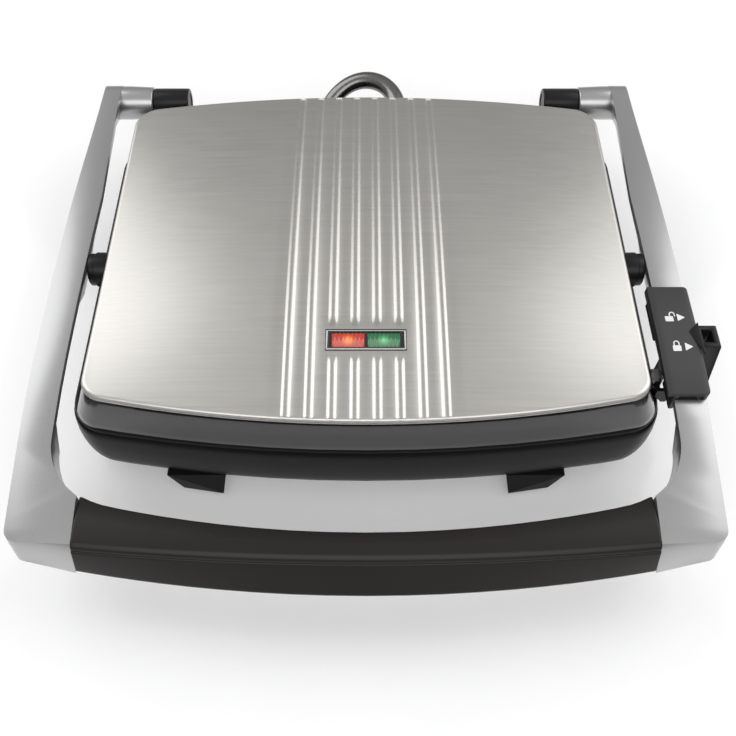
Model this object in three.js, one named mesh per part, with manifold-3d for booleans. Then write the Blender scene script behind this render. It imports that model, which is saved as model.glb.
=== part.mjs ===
// Panini press: ribbed contact grill with a floating lid carried by a U-shaped handle frame.
// Millimetres, +Z up, -Y towards the person using it, +X to their right.
// The design is laid out round the middle of the body, and the whole group is moved at the end
// so that the origin is the middle of its footprint, at the height of the worktop.
import * as THREE from 'three';
import { mergeVertices } from 'three/addons/utils/BufferGeometryUtils.js';
import Module from 'manifold-3d';

const wasm = await Module();
wasm.setup();

// ---------------------------------------------------------------- driving dimensions
const GAP = 0.3; // clearance between pieces that meet
const SHEET = 1.0; // pressed sheet metal
const WALL = 2.5; // moulded plastic wall

const BODY_BOTTOM = 14.5; // underside of the base housing
const PARTING = 50; // height where lid and base meet
const LID_EDGE = 80; // height of the steel cover's rim
const BODY_FRONT = -107; // middle of the bowed front wall
const BODY_REAR = 143; // middle of the bowed rear wall
const FRONT_BOW = 16; // how far the front corners stand behind the middle of the front
const REAR_BOW = 14; // how far the rear corners stand ahead of the middle of the rear
const LID_CORNERS = { front: 12, rear: 15 }; // plan radii
const BASE_CORNERS = { front: 18, rear: 18 };

const HINGE = { y: 167.6, z: 55.2 }; // axis of the two rear hinges
const PIVOT = { y: 8, z: 64 }; // axis of the two side pivots that carry the lid
const HINGE_RADIUS = 11.4; // the arms' hinge bosses
const BARREL_RADIUS = 9.9; // the posts' hinge barrels
const ARM_END_RADIUS = 11.7;
const BOSS_RADIUS = 10.5; // side pivot bosses
const PIN_RADIUS = 3.7;
const BORE_RADIUS = PIN_RADIUS + GAP;

const FRAME_OUTSIDE = 182.5; // outer face of each arm
const FRAME_INSIDE = 165; // inner edge of each arm's top face
const ARM_HEEL = 171; // inner edge of each arm's top face at the hinge
const ARM_RIM = 4; // height of an arm's edge before its underside slopes in
const ARM_UNDERCUT = 5; // how far the underside slopes in on each side
const GRIP_END = 148; // half length of the grip
const GRIP_TOP = 57;
const GRIP_BOTTOM = 35.5;
const FRAME_BOTTOM = 39;

const SLEEVE = { rear: -15.5, front: -86, inside: 160.5, outside: 183.5 };

const CONDUIT_RADIUS = 6;
const CONDUIT_BEND = 27;
const CONDUIT_X = -5; // middle of the conduit's arch

// ---------------------------------------------------------------- solids
function toSolid(geometry) {
  const bare = geometry.index ? geometry.toNonIndexed() : geometry.clone();
  bare.deleteAttribute('normal');
  bare.deleteAttribute('uv');
  const welded = mergeVertices(bare, 1e-4);
  return new wasm.Manifold(new wasm.Mesh({
    numProp: 3,
    vertProperties: new Float32Array(welded.attributes.position.array),
    triVerts: new Uint32Array(welded.index.array),
  }));
}

function toGeometry(solid) {
  const mesh = solid.getMesh();
  const geometry = new THREE.BufferGeometry();
  geometry.setAttribute('position', new THREE.BufferAttribute(new Float32Array(mesh.vertProperties), 3));
  geometry.setIndex(new THREE.BufferAttribute(new Uint32Array(mesh.triVerts), 1));
  return geometry;
}

function join(...parts) {
  return toGeometry(parts.map(toSolid).reduce((whole, part) => whole.add(part)));
}

function cut(part, ...tools) {
  return toGeometry(tools.map(toSolid).reduce((whole, tool) => whole.subtract(tool), toSolid(part)));
}

function common(first, second) {
  return toGeometry(toSolid(first).intersect(toSolid(second)));
}

function box([x0, x1], [y0, y1], [z0, z1]) {
  const geometry = new THREE.BoxGeometry(x1 - x0, y1 - y0, z1 - z0);
  return geometry.translate((x0 + x1) / 2, (y0 + y1) / 2, (z0 + z1) / 2);
}

function cylinderX(radius, [x0, x1], { y, z }, sides = 24) {
  const geometry = new THREE.CylinderGeometry(radius, radius, x1 - x0, sides);
  return geometry.rotateZ(Math.PI / 2).translate((x0 + x1) / 2, y, z);
}

function cylinderY(radius, [y0, y1], { x, z }, sides = 20) {
  const geometry = new THREE.CylinderGeometry(radius, radius, y1 - y0, sides);
  return geometry.translate(x, (y0 + y1) / 2, z);
}

function cylinderZ(radius, [z0, z1], { x, y }, sides = 16) {
  const geometry = new THREE.CylinderGeometry(radius, radius, z1 - z0, sides);
  return geometry.rotateX(Math.PI / 2).translate(x, y, (z0 + z1) / 2);
}

// An outline of [x, y, corner radius] points as a polygon, each rounded corner in a few steps.
function rounded(corners, steps = 5) {
  const points = [];
  corners.forEach(([x, y, radius], i) => {
    const here = new THREE.Vector2(x, y);
    if (!radius) {
      points.push(here);
      return;
    }
    const before = new THREE.Vector2(...corners.at(i - 1)).sub(here).normalize();
    const after = new THREE.Vector2(...corners[(i + 1) % corners.length]).sub(here).normalize();
    const halfAngle = Math.acos(before.dot(after)) / 2;
    const bisector = before.clone().add(after).normalize();
    const centre = here.clone().addScaledVector(bisector, radius / Math.sin(halfAngle));
    const reach = radius / Math.tan(halfAngle);
    const start = here.clone().addScaledVector(before, reach).sub(centre).angle();
    const end = here.clone().addScaledVector(after, reach).sub(centre).angle();
    let turn = end - start;
    if (turn > Math.PI) turn -= 2 * Math.PI;
    if (turn < -Math.PI) turn += 2 * Math.PI;
    for (let k = 0; k <= steps; k++) {
      const angle = start + turn * k / steps;
      points.push(new THREE.Vector2(Math.cos(angle), Math.sin(angle)).multiplyScalar(radius).add(centre));
    }
  });
  return points;
}

// A flat outline in X and Y, raised from z0 to z1.
function plate(points, [z0, z1]) {
  const geometry = new THREE.ExtrudeGeometry(new THREE.Shape(points), { depth: z1 - z0, bevelEnabled: false });
  return geometry.translate(0, 0, z0);
}

// A side profile in Y and Z, run along X from x0 to x1.
function profileX(points, [x0, x1]) {
  const shape = new THREE.Shape(points);
  const geometry = new THREE.ExtrudeGeometry(shape, { depth: x1 - x0, bevelEnabled: false });
  const basis = new THREE.Matrix4().makeBasis(
    new THREE.Vector3(0, 1, 0), new THREE.Vector3(0, 0, 1), new THREE.Vector3(1, 0, 0));
  return geometry.applyMatrix4(basis).translate(x0, 0, 0);
}

// A closed body through rings of points, all with the same count, from the first ring to the last.
function loft(rings) {
  const count = rings[0].length;
  const position = rings.flat().flatMap((p) => [p.x, p.y, p.z]);
  const index = [];
  for (let r = 0; r < rings.length - 1; r++) {
    for (let i = 0; i < count; i++) {
      const a = r * count + i;
      const b = r * count + (i + 1) % count;
      index.push(a, b, b + count, a, b + count, a + count);
    }
  }
  const cap = (ring) => {
    const normal = new THREE.Vector3();
    ring.forEach((p, i) => {
      const q = ring[(i + 1) % count];
      normal.add(new THREE.Vector3().crossVectors(p, q));
    });
    normal.normalize();
    const u = new THREE.Vector3(0, 1, 0);
    if (Math.abs(normal.y) > 0.9) u.set(1, 0, 0);
    u.cross(normal).normalize();
    const v = new THREE.Vector3().crossVectors(normal, u);
    return THREE.ShapeUtils.triangulateShape(ring.map((p) => new THREE.Vector2(p.dot(u), p.dot(v))), []);
  };
  cap(rings[0]).forEach(([a, b, c]) => index.push(c, b, a));
  const last = (rings.length - 1) * count;
  cap(rings.at(-1)).forEach(([a, b, c]) => index.push(last + a, last + b, last + c));
  const geometry = new THREE.BufferGeometry();
  geometry.setAttribute('position', new THREE.Float32BufferAttribute(position, 3));
  geometry.setIndex(index);
  return toSolid(geometry).volume() < 0 ? flipped(geometry) : geometry;
}

function flipped(geometry) {
  const index = Array.from(geometry.index.array);
  for (let i = 0; i < index.length; i += 3) {
    [index[i], index[i + 1]] = [index[i + 1], index[i]];
  }
  geometry.setIndex(index);
  return geometry;
}

// The same piece on the other side of the press.
function mirrored(geometry) {
  const copy = (geometry.index ? geometry : mergeVertices(geometry)).clone();
  copy.scale(-1, 1, 1);
  return flipped(copy);
}

// A round rod or tube wall along a path.
function rod(path, radius, steps, sides = 8) {
  const section = new THREE.Shape();
  for (let i = 0; i < sides; i++) {
    const angle = 2 * Math.PI * i / sides;
    const point = [radius * Math.cos(angle), radius * Math.sin(angle)];
    if (i) section.lineTo(...point);
    else section.moveTo(...point);
  }
  return new THREE.ExtrudeGeometry(section, { steps, extrudePath: path, bevelEnabled: false });
}

// ---------------------------------------------------------------- the press and its bodies
const press = new THREE.Group();
const base = new THREE.Group();
const frame = new THREE.Group();
const lid = new THREE.Group();
const lock = new THREE.Group();
press.add(base, frame, lid, lock);

const finish = {
  black: { color: 0x141417, roughness: 0.42, metalness: 0 },
  gloss: { color: 0x0e0e11, roughness: 0.18, metalness: 0 },
  steel: { color: 0xc9c6c0, roughness: 0.34, metalness: 1 },
  silver: { color: 0xb4b4b9, roughness: 0.3, metalness: 0.9 },
  plate: { color: 0x1c1c1e, roughness: 0.5, metalness: 0.3 },
  heater: { color: 0x77726a, roughness: 0.5, metalness: 0.8 },
  reflector: { color: 0xa9abad, roughness: 0.4, metalness: 0.9 },
  pin: { color: 0x9a9a9c, roughness: 0.3, metalness: 1 },
  rubber: { color: 0x1b1b1c, roughness: 0.9, metalness: 0 },
  conduit: { color: 0x5b5753, roughness: 0.2, metalness: 1 },
  ceramic: { color: 0xd8d3c4, roughness: 0.7, metalness: 0 },
  red: { color: 0xd8311a, roughness: 0.2, metalness: 0 },
  green: { color: 0x0d7a3d, roughness: 0.2, metalness: 0 },
};

function piece(group, name, geometry, look) {
  const mesh = new THREE.Mesh(geometry, new THREE.MeshStandardMaterial(finish[look]));
  mesh.name = name;
  group.add(mesh);
}

// ---------------------------------------------------------------- body outline
// Plan outline of the body, half width given, every side moved in by inset.
function bodyOutline(halfWidth, inset = 0, corners = LID_CORNERS) {
  const w = halfWidth - inset;
  const front = BODY_FRONT + inset;
  const rear = BODY_REAR - inset;
  const side = [1, 0.72, 0.38, 0];
  const bow = (fraction) => fraction * fraction;
  const right = side.map((f) => [w * f, front + FRONT_BOW * bow(f), f === 1 ? corners.front : 0]);
  const rearHalf = side.map((f) => [w * f, rear - REAR_BOW * bow(f), f === 1 ? corners.rear : 0]);
  const mirror = ([x, y, r]) => [-x, y, r];
  return rounded([
    ...side.slice(0, -1).map((f, i) => mirror(right[i])),
    ...right.slice().reverse(),
    ...rearHalf.slice(0, -1),
    ...rearHalf.slice().reverse().map(mirror),
  ], 4);
}

function ringAt(halfWidth, inset, z, corners) {
  return bodyOutline(halfWidth, inset, corners).map((p) => new THREE.Vector3(p.x, p.y, z));
}

// Body stacked from [half width, inset, height] levels.
function bodyStack(levels, corners = LID_CORNERS) {
  return loft(levels.map(([halfWidth, inset, z]) => ringAt(halfWidth, inset, z, corners)));
}

function baseStack(levels) {
  return bodyStack(levels, BASE_CORNERS);
}

const BASE_LEVELS = [
  [162.5, 0, BODY_BOTTOM], [163.5, -2, 17], [165.2, -2.8, 25], [166, -2.5, 36], [165.5, -1.5, 44],
  [165, 0, 47.5], [164.5, 2, 49.6],
];
const LID_LEVELS = [[161, 0, 50.4], [157.5, 0, 60], [153.5, 0.5, 70], [151, 1.4, LID_EDGE - 3]];
const COVER_LEVELS = [
  [151, 0.2, LID_EDGE - 1], [150.5, 0.4, LID_EDGE + 0.4], [150.5, 2, LID_EDGE + 1.8], [150.5, 6, LID_EDGE + 3.4],
  [150.5, 16, LID_EDGE + 5.2], [150.5, 38, LID_EDGE + 7.4], [150.5, 66, LID_EDGE + 8.8],
  [150.5, 92, LID_EDGE + 9.4],
];

function grown(levels, by) {
  return levels.map(([halfWidth, inset, z]) => [halfWidth + by, inset - by, z]);
}

function raised(levels, by) {
  return levels.map(([halfWidth, inset, z]) => [halfWidth, inset, z + by]);
}

// ---------------------------------------------------------------- base: housing and cover
const baseOuter = baseStack(BASE_LEVELS);
const baseSeat = baseStack(grown(BASE_LEVELS, GAP));
const baseInner = baseStack([
  [162.5, WALL, BODY_BOTTOM - 1], [162.5, WALL, 20], [163.5, WALL, 34], [161, WALL + 2, 39],
  [161, WALL + 2, PARTING + 1],
]);
const CORD_INLET = { x: 92, z: 29 };
const BASE_GLAND = { x: CONDUIT_X - CONDUIT_BEND, z: 37 };
const LID_GLAND = { x: CONDUIT_X + CONDUIT_BEND, z: 61 };
const GLAND_RADIUS = 8.5;
const inletHole = cylinderY(7 + GAP, [BODY_REAR - 26, BODY_REAR + 8], CORD_INLET);
const baseGlandHole = cylinderY(GLAND_RADIUS - 1.5 + GAP, [BODY_REAR - 14, BODY_REAR + 8], BASE_GLAND);
piece(base, 'base_housing', cut(baseOuter, baseInner, inletHole, baseGlandHole), 'black');

const VENT = { count: 6, pitch: 14, width: 5, length: 60 };
const coverOutline = bodyOutline(162.5, WALL + GAP, BASE_CORNERS);
const coverBlank = plate(coverOutline, [BODY_BOTTOM + GAP, BODY_BOTTOM + 3]);
const ventSlots = Array.from({ length: VENT.count }, (_, i) => {
  const y = 20 + (i - (VENT.count - 1) / 2) * VENT.pitch;
  return box([-VENT.length / 2, VENT.length / 2], [y, y + VENT.width], [BODY_BOTTOM - 1, 20]);
});
const COVER_SCREW = { x: 124, front: -70, rear: 96 };
const screwPlaces = [
  ['front_left', -COVER_SCREW.x, COVER_SCREW.front], ['front_right', COVER_SCREW.x, COVER_SCREW.front],
  ['rear_left', -COVER_SCREW.x, COVER_SCREW.rear], ['rear_right', COVER_SCREW.x, COVER_SCREW.rear],
];
const screwHoles = screwPlaces.map(([, x, y]) => cylinderZ(2.2, [BODY_BOTTOM - 1, 20], { x, y }, 12));
piece(base, 'base_bottom_cover', cut(coverBlank, ...ventSlots, ...screwHoles), 'black');
screwPlaces.forEach(([place, x, y]) => {
  const head = cylinderZ(3.6, [BODY_BOTTOM - 1.7, BODY_BOTTOM], { x, y }, 12);
  const shank = cylinderZ(1.8, [BODY_BOTTOM - 0.5, BODY_BOTTOM + 8], { x, y }, 12);
  const slot = box([x - 4, x + 4], [y - 0.5, y + 0.5], [BODY_BOTTOM - 2, BODY_BOTTOM - 1]);
  piece(base, `${place}_cover_screw`, cut(join(head, shank), slot), 'pin');
});

// ---------------------------------------------------------------- base: feet
const FOOT = { inner: 81, outer: 115, innerToe: 84, outerToe: 104.5, depth: 26, front: -104, rear: 124, skew: 3.5 };
function foot(side, front) {
  const y0 = front ? FOOT.front : FOOT.rear - FOOT.depth;
  const y1 = y0 + FOOT.depth;
  const toeFront = front ? y0 - 3 : y0 + 2;
  const skew = front ? FOOT.skew : 0;
  const ring = (x0, x1, ya, yb, z, lead = skew) => [
    new THREE.Vector3(x0, ya - lead, z), new THREE.Vector3(x1, ya, z),
    new THREE.Vector3(x1, yb, z), new THREE.Vector3(x0, yb, z),
  ];
  const block = loft([
    ring(FOOT.innerToe, FOOT.outerToe, toeFront + 1, y1 - 2, 1.2),
    ring(FOOT.innerToe - 1, FOOT.outerToe + 2, toeFront, y1 - 1, 4),
    ring(FOOT.inner, FOOT.outer, y0, y1, BODY_BOTTOM - GAP, 0),
  ]);
  const pad = { x: [FOOT.innerToe + 3, FOOT.outerToe - 3], y: [toeFront + 4, y1 - 5] };
  const recess = box([pad.x[0] - GAP, pad.x[1] + GAP], [pad.y[0] - GAP, pad.y[1] + GAP], [0, 2.8 + GAP]);
  const shoe = cut(block, recess);
  const padBody = box(pad.x, pad.y, [0, 2.8]);
  return side > 0 ? [shoe, padBody] : [mirrored(shoe), mirrored(padBody)];
}
for (const [end, front] of [['front', true], ['rear', false]]) {
  for (const [hand, side] of [['left', -1], ['right', 1]]) {
    const [shoe, pad] = foot(side, front);
    piece(base, `${end}_${hand}_foot`, shoe, 'black');
    piece(base, `${end}_${hand}_foot_pad`, pad, 'rubber');
  }
}

// ---------------------------------------------------------------- grill plates and heaters
const PLATE = { halfWidth: 152, front: -97, rear: 132, thick: 4, rib: 5, ribPitch: 15, ribs: 19, rim: 4 };
const plateCorners = (inset) => rounded([
  [-PLATE.halfWidth + inset, PLATE.front + 14 + inset, 10], [-70, PLATE.front + 4 + inset, 0],
  [70, PLATE.front + 4 + inset, 0], [PLATE.halfWidth - inset, PLATE.front + 14 + inset, 10],
  [PLATE.halfWidth - inset, PLATE.rear - 13 - inset, 10], [70, PLATE.rear - inset, 0],
  [-70, PLATE.rear - inset, 0], [-PLATE.halfWidth + inset, PLATE.rear - 13 - inset, 10],
], 3);

// A grill plate with its ribs up, its back face at z = 0.
function grillPlate() {
  const blank = plate(plateCorners(0), [0, PLATE.thick + PLATE.rib - 0.6]);
  const well = plate(plateCorners(PLATE.rim), [PLATE.thick, PLATE.thick + PLATE.rib + 1]);
  const ribs = Array.from({ length: PLATE.ribs }, (_, i) => {
    const x = (i - (PLATE.ribs - 1) / 2) * PLATE.ribPitch;
    const section = [[-2.6, -0.5], [2.6, -0.5], [1.1, PLATE.rib], [-1.1, PLATE.rib]];
    const shape = new THREE.Shape(section.map(([u, v]) => new THREE.Vector2(u, v)));
    const rib = new THREE.ExtrudeGeometry(shape, { depth: 192, bevelEnabled: false });
    return rib.rotateX(Math.PI / 2).translate(x, 112, PLATE.thick);
  });
  return join(cut(blank, well), ...ribs);
}

// A sheathed heating element laid as a flat W, its two ends turned down to the terminals.
function heatingElement() {
  const level = 0;
  const route = [
    [-22, 112, -9], [-22, 104, -2], [-24, 92, level], [-60, 84, level], [-104, 74, level], [-120, 40, level],
    [-120, -30, level], [-104, -64, level], [-72, -62, level], [-52, -30, level], [-28, 30, level],
    [0, 48, level], [28, 30, level], [52, -30, level], [72, -62, level], [104, -64, level],
    [120, -30, level], [120, 40, level], [104, 74, level], [60, 84, level], [24, 92, level],
    [22, 104, -2], [22, 112, -9],
  ];
  const path = new THREE.CatmullRomCurve3(route.map((p) => new THREE.Vector3(...p)), false, 'centripetal');
  return rod(path, 3.2, 64, 6);
}

// A dished reflector tray with a turned-up edge, open side up, its floor at z = 0.
function reflectorTray(height) {
  const outline = (inset) => rounded([
    [-134 + inset, -80 + inset, 8], [134 - inset, -80 + inset, 8],
    [134 - inset, 98 - inset, 8], [-134 + inset, 98 - inset, 8],
  ], 2);
  return cut(plate(outline(0), [0, height]), plate(outline(SHEET), [SHEET, height + 1]));
}

const LOWER_PLATE_BACK = PARTING - 0.4 - PLATE.thick - PLATE.rib;
const UPPER_PLATE_BACK = PARTING + 0.4 + PLATE.thick + PLATE.rib;
const upsideDown = (geometry) => geometry.rotateY(Math.PI);
piece(base, 'lower_grill_plate', grillPlate().translate(0, 0, LOWER_PLATE_BACK), 'plate');
piece(base, 'lower_heating_element', heatingElement().translate(0, 0, LOWER_PLATE_BACK - 3.6), 'heater');
const lowerTrayHoles = [-22, 22].map((x) => box([x - 6, x + 6], [88, 100], [20, 40]));
const lowerTray = cut(reflectorTray(6).translate(0, 0, 25), ...lowerTrayHoles);
piece(base, 'lower_heat_reflector', lowerTray, 'reflector');

// ---------------------------------------------------------------- base: electrical parts
const thermostatBody = join(
  cylinderZ(9, [31.5, 40], { x: 0, y: -36 }, 20),
  box([-13, 13], [-38.5, -33.5], [33, 35]),
);
piece(base, 'lower_thermostat', thermostatBody, 'ceramic');
piece(base, 'lower_thermal_fuse', cylinderX(2.6, [-16, 16], { y: -58, z: 34 }, 12), 'ceramic');
const terminalSlots = [-14, 0, 14].map((x) => box([60 + x - 4.5, 60 + x + 4.5], [104, 114], [22.5, 32]));
piece(base, 'terminal_block', cut(box([38, 82], [103, 115], [19.3, 29]), ...terminalSlots), 'ceramic');

const inletFlange = cylinderY(10, [BODY_REAR - 16, BODY_REAR + 1.5], CORD_INLET);
const inletBarrel = cylinderY(7, [BODY_REAR - 22, BODY_REAR], CORD_INLET);
const inletBore = cylinderY(4, [BODY_REAR - 30, BODY_REAR + 10], CORD_INLET);
const cordInlet = cut(join(cut(inletFlange, baseSeat), inletBarrel), inletBore);
piece(base, 'cord_inlet', cordInlet, 'black');

// ---------------------------------------------------------------- base: hinge posts and pins
const POST = { inner: 124.5, outer: 149 };
const postProfile = rounded([
  [BODY_REAR - 24, 20, 0], [154, 20, 10], [HINGE.y + 8, HINGE.z - 12, 4],
  [HINGE.y + 7, HINGE.z + 4, 0], [HINGE.y - 7, HINGE.z + 4, 0], [HINGE.y - 11, HINGE.z - 12, 6],
  [BODY_REAR - 4, 38, 4], [BODY_REAR - 24, 38, 0],
], 3);
const postBlank = cut(profileX(postProfile, [POST.inner + 3, POST.outer - 3]), baseSeat);
const barrel = cylinderX(BARREL_RADIUS, [POST.inner, POST.outer], HINGE);
const bore = cylinderX(BORE_RADIUS, [POST.inner - 1, POST.outer + 1], HINGE);
const rightPost = cut(join(postBlank, barrel), bore);
piece(base, 'right_hinge_post', rightPost, 'black');
piece(base, 'left_hinge_post', mirrored(rightPost), 'black');
const hingePin = cylinderX(PIN_RADIUS, [POST.inner + 1, 174], HINGE, 16);
piece(base, 'right_hinge_pin', hingePin, 'pin');
piece(base, 'left_hinge_pin', mirrored(hingePin), 'pin');

// ---------------------------------------------------------------- base: latch catch
const HOOK = { rear: -56, front: -66, foot: [51, 53] };
const CATCH = { rear: -67, front: -73.5, bottom: 46, top: 57.4 };
const catchBlock = box([161.8, 169.5], [CATCH.front, CATCH.rear], [CATCH.bottom, CATCH.top]);
const catchWay = [CATCH.front + 2, CATCH.rear + 1];
const footWay = box([161, 175], catchWay, [HOOK.foot[0] - 0.8, HOOK.foot[1] + 0.8]);
const legWay = box([163.8, 175], catchWay, [HOOK.foot[0] - 0.8, 60]);
const catchSeat = baseStack(grown([...BASE_LEVELS.slice(0, -1), [164.5, 2, 49.6 + GAP]], GAP));
const lidRoom = bodyStack(grown([[161, 0, 49.8], ...LID_LEVELS], 0.6));
piece(base, 'latch_catch', cut(catchBlock, footWay, legWay, catchSeat, lidRoom), 'black');

// ---------------------------------------------------------------- handle frame: arms
const armPlan = rounded([
  [FRAME_OUTSIDE, HINGE.y + 20, 0], [ARM_HEEL, HINGE.y + 20, 0], [ARM_HEEL, 158, 0], [FRAME_INSIDE, 60, 0],
  [FRAME_INSIDE, -124.5, 34], [GRIP_END + GAP, -138, 0], [GRIP_END + GAP, -172, 0],
  [FRAME_OUTSIDE, -164.5, 7],
], 6);
const armTop = new THREE.SplineCurve([
  [-162, 56], [-130, 62.3], [-98, 68.3], [-60, 72], [0, 74], [60, 73], [120, 69],
  [HINGE.y, HINGE.z + ARM_END_RADIUS],
].map((p) => new THREE.Vector2(...p))).getPoints(18);
const armHeel = Array.from({ length: 7 }, (_, i) => {
  const angle = Math.PI / 2 - Math.PI * (i + 1) / 8;
  return new THREE.Vector2(HINGE.y, HINGE.z).add(
    new THREE.Vector2(Math.cos(angle), Math.sin(angle)).multiplyScalar(ARM_END_RADIUS));
});
const armUnder = [
  [HINGE.y, HINGE.z - ARM_END_RADIUS], [HINGE.y - 9, HINGE.z - 6], [145, 53], [120, 56], [60, 59], [30, 58.5],
  [20, 55], [-4, 55], [-14, 59], [-60, 58], [-98, 54], [-130, 47], [-152, FRAME_BOTTOM], [-172, FRAME_BOTTOM],
].map((p) => new THREE.Vector2(...p));
const armSide = [...armTop, ...armHeel, ...armUnder];
// The underside slopes in below the rim, on both sides of the straight run of the arm.
const underSlopes = [-1, 1].map((side) => loft(armTop.filter((p) => p.x > -112 && p.x < 156).map((p) => {
  const edge = side > 0 ? FRAME_OUTSIDE : THREE.MathUtils.mapLinear(Math.max(p.x, 60), 60, 158, FRAME_INSIDE, ARM_HEEL);
  const inward = edge - side * ARM_UNDERCUT;
  return [[edge + side * 8, -ARM_RIM], [edge, -ARM_RIM], [inward, -ARM_RIM - 8], [inward, -30], [edge + side * 8, -30]]
    .map(([x, drop]) => new THREE.Vector3(x, p.x, p.y + drop));
})));
const hingeBoss = cylinderX(HINGE_RADIUS, [POST.outer + GAP, 176], HINGE);
const hingeBore = cylinderX(BORE_RADIUS, [POST.outer - 1, 174.5], HINGE);
const pivotHub = cylinderX(8.5, [FRAME_INSIDE + 0.5, 180], PIVOT);
const pivotBore = cylinderX(BORE_RADIUS, [FRAME_INSIDE - 5, 177.5], PIVOT);
const BAR = { y: [-164, -158], z: [43, 51], end: 158 };
const barPocket = box([GRIP_END - 5, BAR.end + GAP], BAR.y.map((y, i) => y + (i ? GAP : -GAP)),
  BAR.z.map((z, i) => z + (i ? GAP : -GAP)));
const armBlank = common(plate(armPlan, [0, 100]), profileX(armSide, [100, 200]));
const plainArm = cut(join(cut(armBlank, ...underSlopes), hingeBoss, pivotHub), hingeBore, pivotBore, barPocket);
piece(frame, 'left_arm', mirrored(plainArm), 'silver');

// The right arm is slimmer under the lock sleeve.
const sleeveSeat = [
  box([179.7, 190], [SLEEVE.front - GAP, SLEEVE.rear + GAP], [40, 90]),
  box([150, 167.8], [SLEEVE.front - GAP, SLEEVE.rear + GAP], [40, 90]),
  box([150, 190], [SLEEVE.front - GAP, SLEEVE.rear + GAP], [66, 90]),
];
piece(frame, 'right_arm', cut(plainArm, ...sleeveSeat), 'silver');

const pivotPin = cylinderX(PIN_RADIUS, [152, 177], PIVOT, 16);
piece(frame, 'right_pivot_pin', pivotPin, 'pin');
piece(frame, 'left_pivot_pin', mirrored(pivotPin), 'pin');

// ---------------------------------------------------------------- handle frame: grip
const SEAM = 54.6; // height of the joint between the two grip shells
function gripSection(x) {
  const reach = (x / GRIP_END) ** 2;
  const back = -155 + 17.6 * reach;
  const ridge = -170.5 + 6.9 * reach;
  const front = -184 + 13 * reach;
  const profile = [
    [back - 1.2, GRIP_TOP - 1], [back - 5, GRIP_TOP + 1], [(back + ridge) / 2, GRIP_TOP + 1.6], [ridge, GRIP_TOP],
    [front, 41.5], [front + 1, 37.5], [front + 6, GRIP_BOTTOM], [back - 8, GRIP_BOTTOM],
    [back, 41], [back, GRIP_TOP - 4],
  ];
  return profile.map(([y, z]) => new THREE.Vector3(x, y, z));
}
const GRIP_STATIONS = 14;
const gripBody = loft(Array.from({ length: GRIP_STATIONS + 1 }, (_, i) => {
  return gripSection(GRIP_END * (2 * i / GRIP_STATIONS - 1));
}));
const barRoom = box([-GRIP_END - 5, GRIP_END + 5], BAR.y.map((y, i) => y + (i ? GAP : -GAP)), [BAR.z[0] - GAP, 80]);
const above = box([-200, 200], [-200, -100], [SEAM, 90]);
const below = box([-200, 200], [-200, -100], [0, SEAM - GAP]);
piece(frame, 'grip_upper_shell', common(gripBody, above), 'black');
piece(frame, 'grip_lower_shell', cut(common(gripBody, below), barRoom), 'black');
piece(frame, 'grip_core_bar', box([-BAR.end, BAR.end], BAR.y, BAR.z), 'pin');

// ---------------------------------------------------------------- handle frame: lock sleeve
const sleeveProfile = [
  [SLEEVE.rear, 77.5], [-52, 77.5], [SLEEVE.front, 74.5], [SLEEVE.front, 59], [SLEEVE.rear, 59],
].map((p) => new THREE.Vector2(...p));
const sleeveBlank = profileX(sleeveProfile, [SLEEVE.inside, SLEEVE.outside]);
const sleeveRoom = box([167.4, 180], [SLEEVE.front - 1, SLEEVE.rear + 1], [50, 71.8]);
const sleeveRebate = box([SLEEVE.inside - 1, 164.6], [SLEEVE.front - 1, SLEEVE.rear + 1], [50, 71.8]);
const hookWindow = box([SLEEVE.inside - 1, 168], [HOOK.front - 3, HOOK.rear + 15], [50, 71.8]);
const buttonSlot = box([175, 190], [-63, -40], [66.3, 71]);
piece(frame, 'lock_sleeve', cut(sleeveBlank, sleeveRoom, sleeveRebate, hookWindow, buttonSlot), 'black');

// ---------------------------------------------------------------- lock slider
const SLIDER = { rear: -40.5, front: -55, top: 74.5, outside: 196, inside: SLEEVE.outside + GAP };
const sliderRing = (y, x1, zTop, zBottom) => [
  new THREE.Vector3(SLIDER.inside, y, zBottom), new THREE.Vector3(x1, y, zBottom),
  new THREE.Vector3(x1, y, zTop), new THREE.Vector3(SLIDER.inside, y, zTop),
];
const sliderBlock = loft([
  sliderRing(SLIDER.rear, SLIDER.outside - 1.5, SLIDER.top - 1, 64),
  sliderRing(SLIDER.rear - 3, SLIDER.outside, SLIDER.top, 60),
  sliderRing(SLIDER.front, SLIDER.outside, SLIDER.top, 58.5),
  sliderRing(-62, SLIDER.outside - 3, 67, 58),
  sliderRing(-72, SLIDER.inside + 3, 61, 58),
]);
const sliderHole = box([187.8, 193.8], [-50.5, -44], [50, 90]);
const sliderStem = box([179.5, SLIDER.inside + 1], [-62, -54], [67, 70.4]);
const sliderBlank = join(cut(sliderBlock, sliderHole), sliderStem);
piece(lock, 'lock_button', sliderBlank, 'black');
const hookBridge = box([164.2, 179.2], [-63, -56], [67, 70.4]);
const hookLeg = box([164.2, 166.4], [HOOK.front, HOOK.rear], [HOOK.foot[0], 70.4]);
const hookFoot = box([162, 166.4], [HOOK.front, HOOK.rear], HOOK.foot);
piece(lock, 'lock_hook', join(hookBridge, hookLeg, hookFoot), 'pin');

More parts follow.
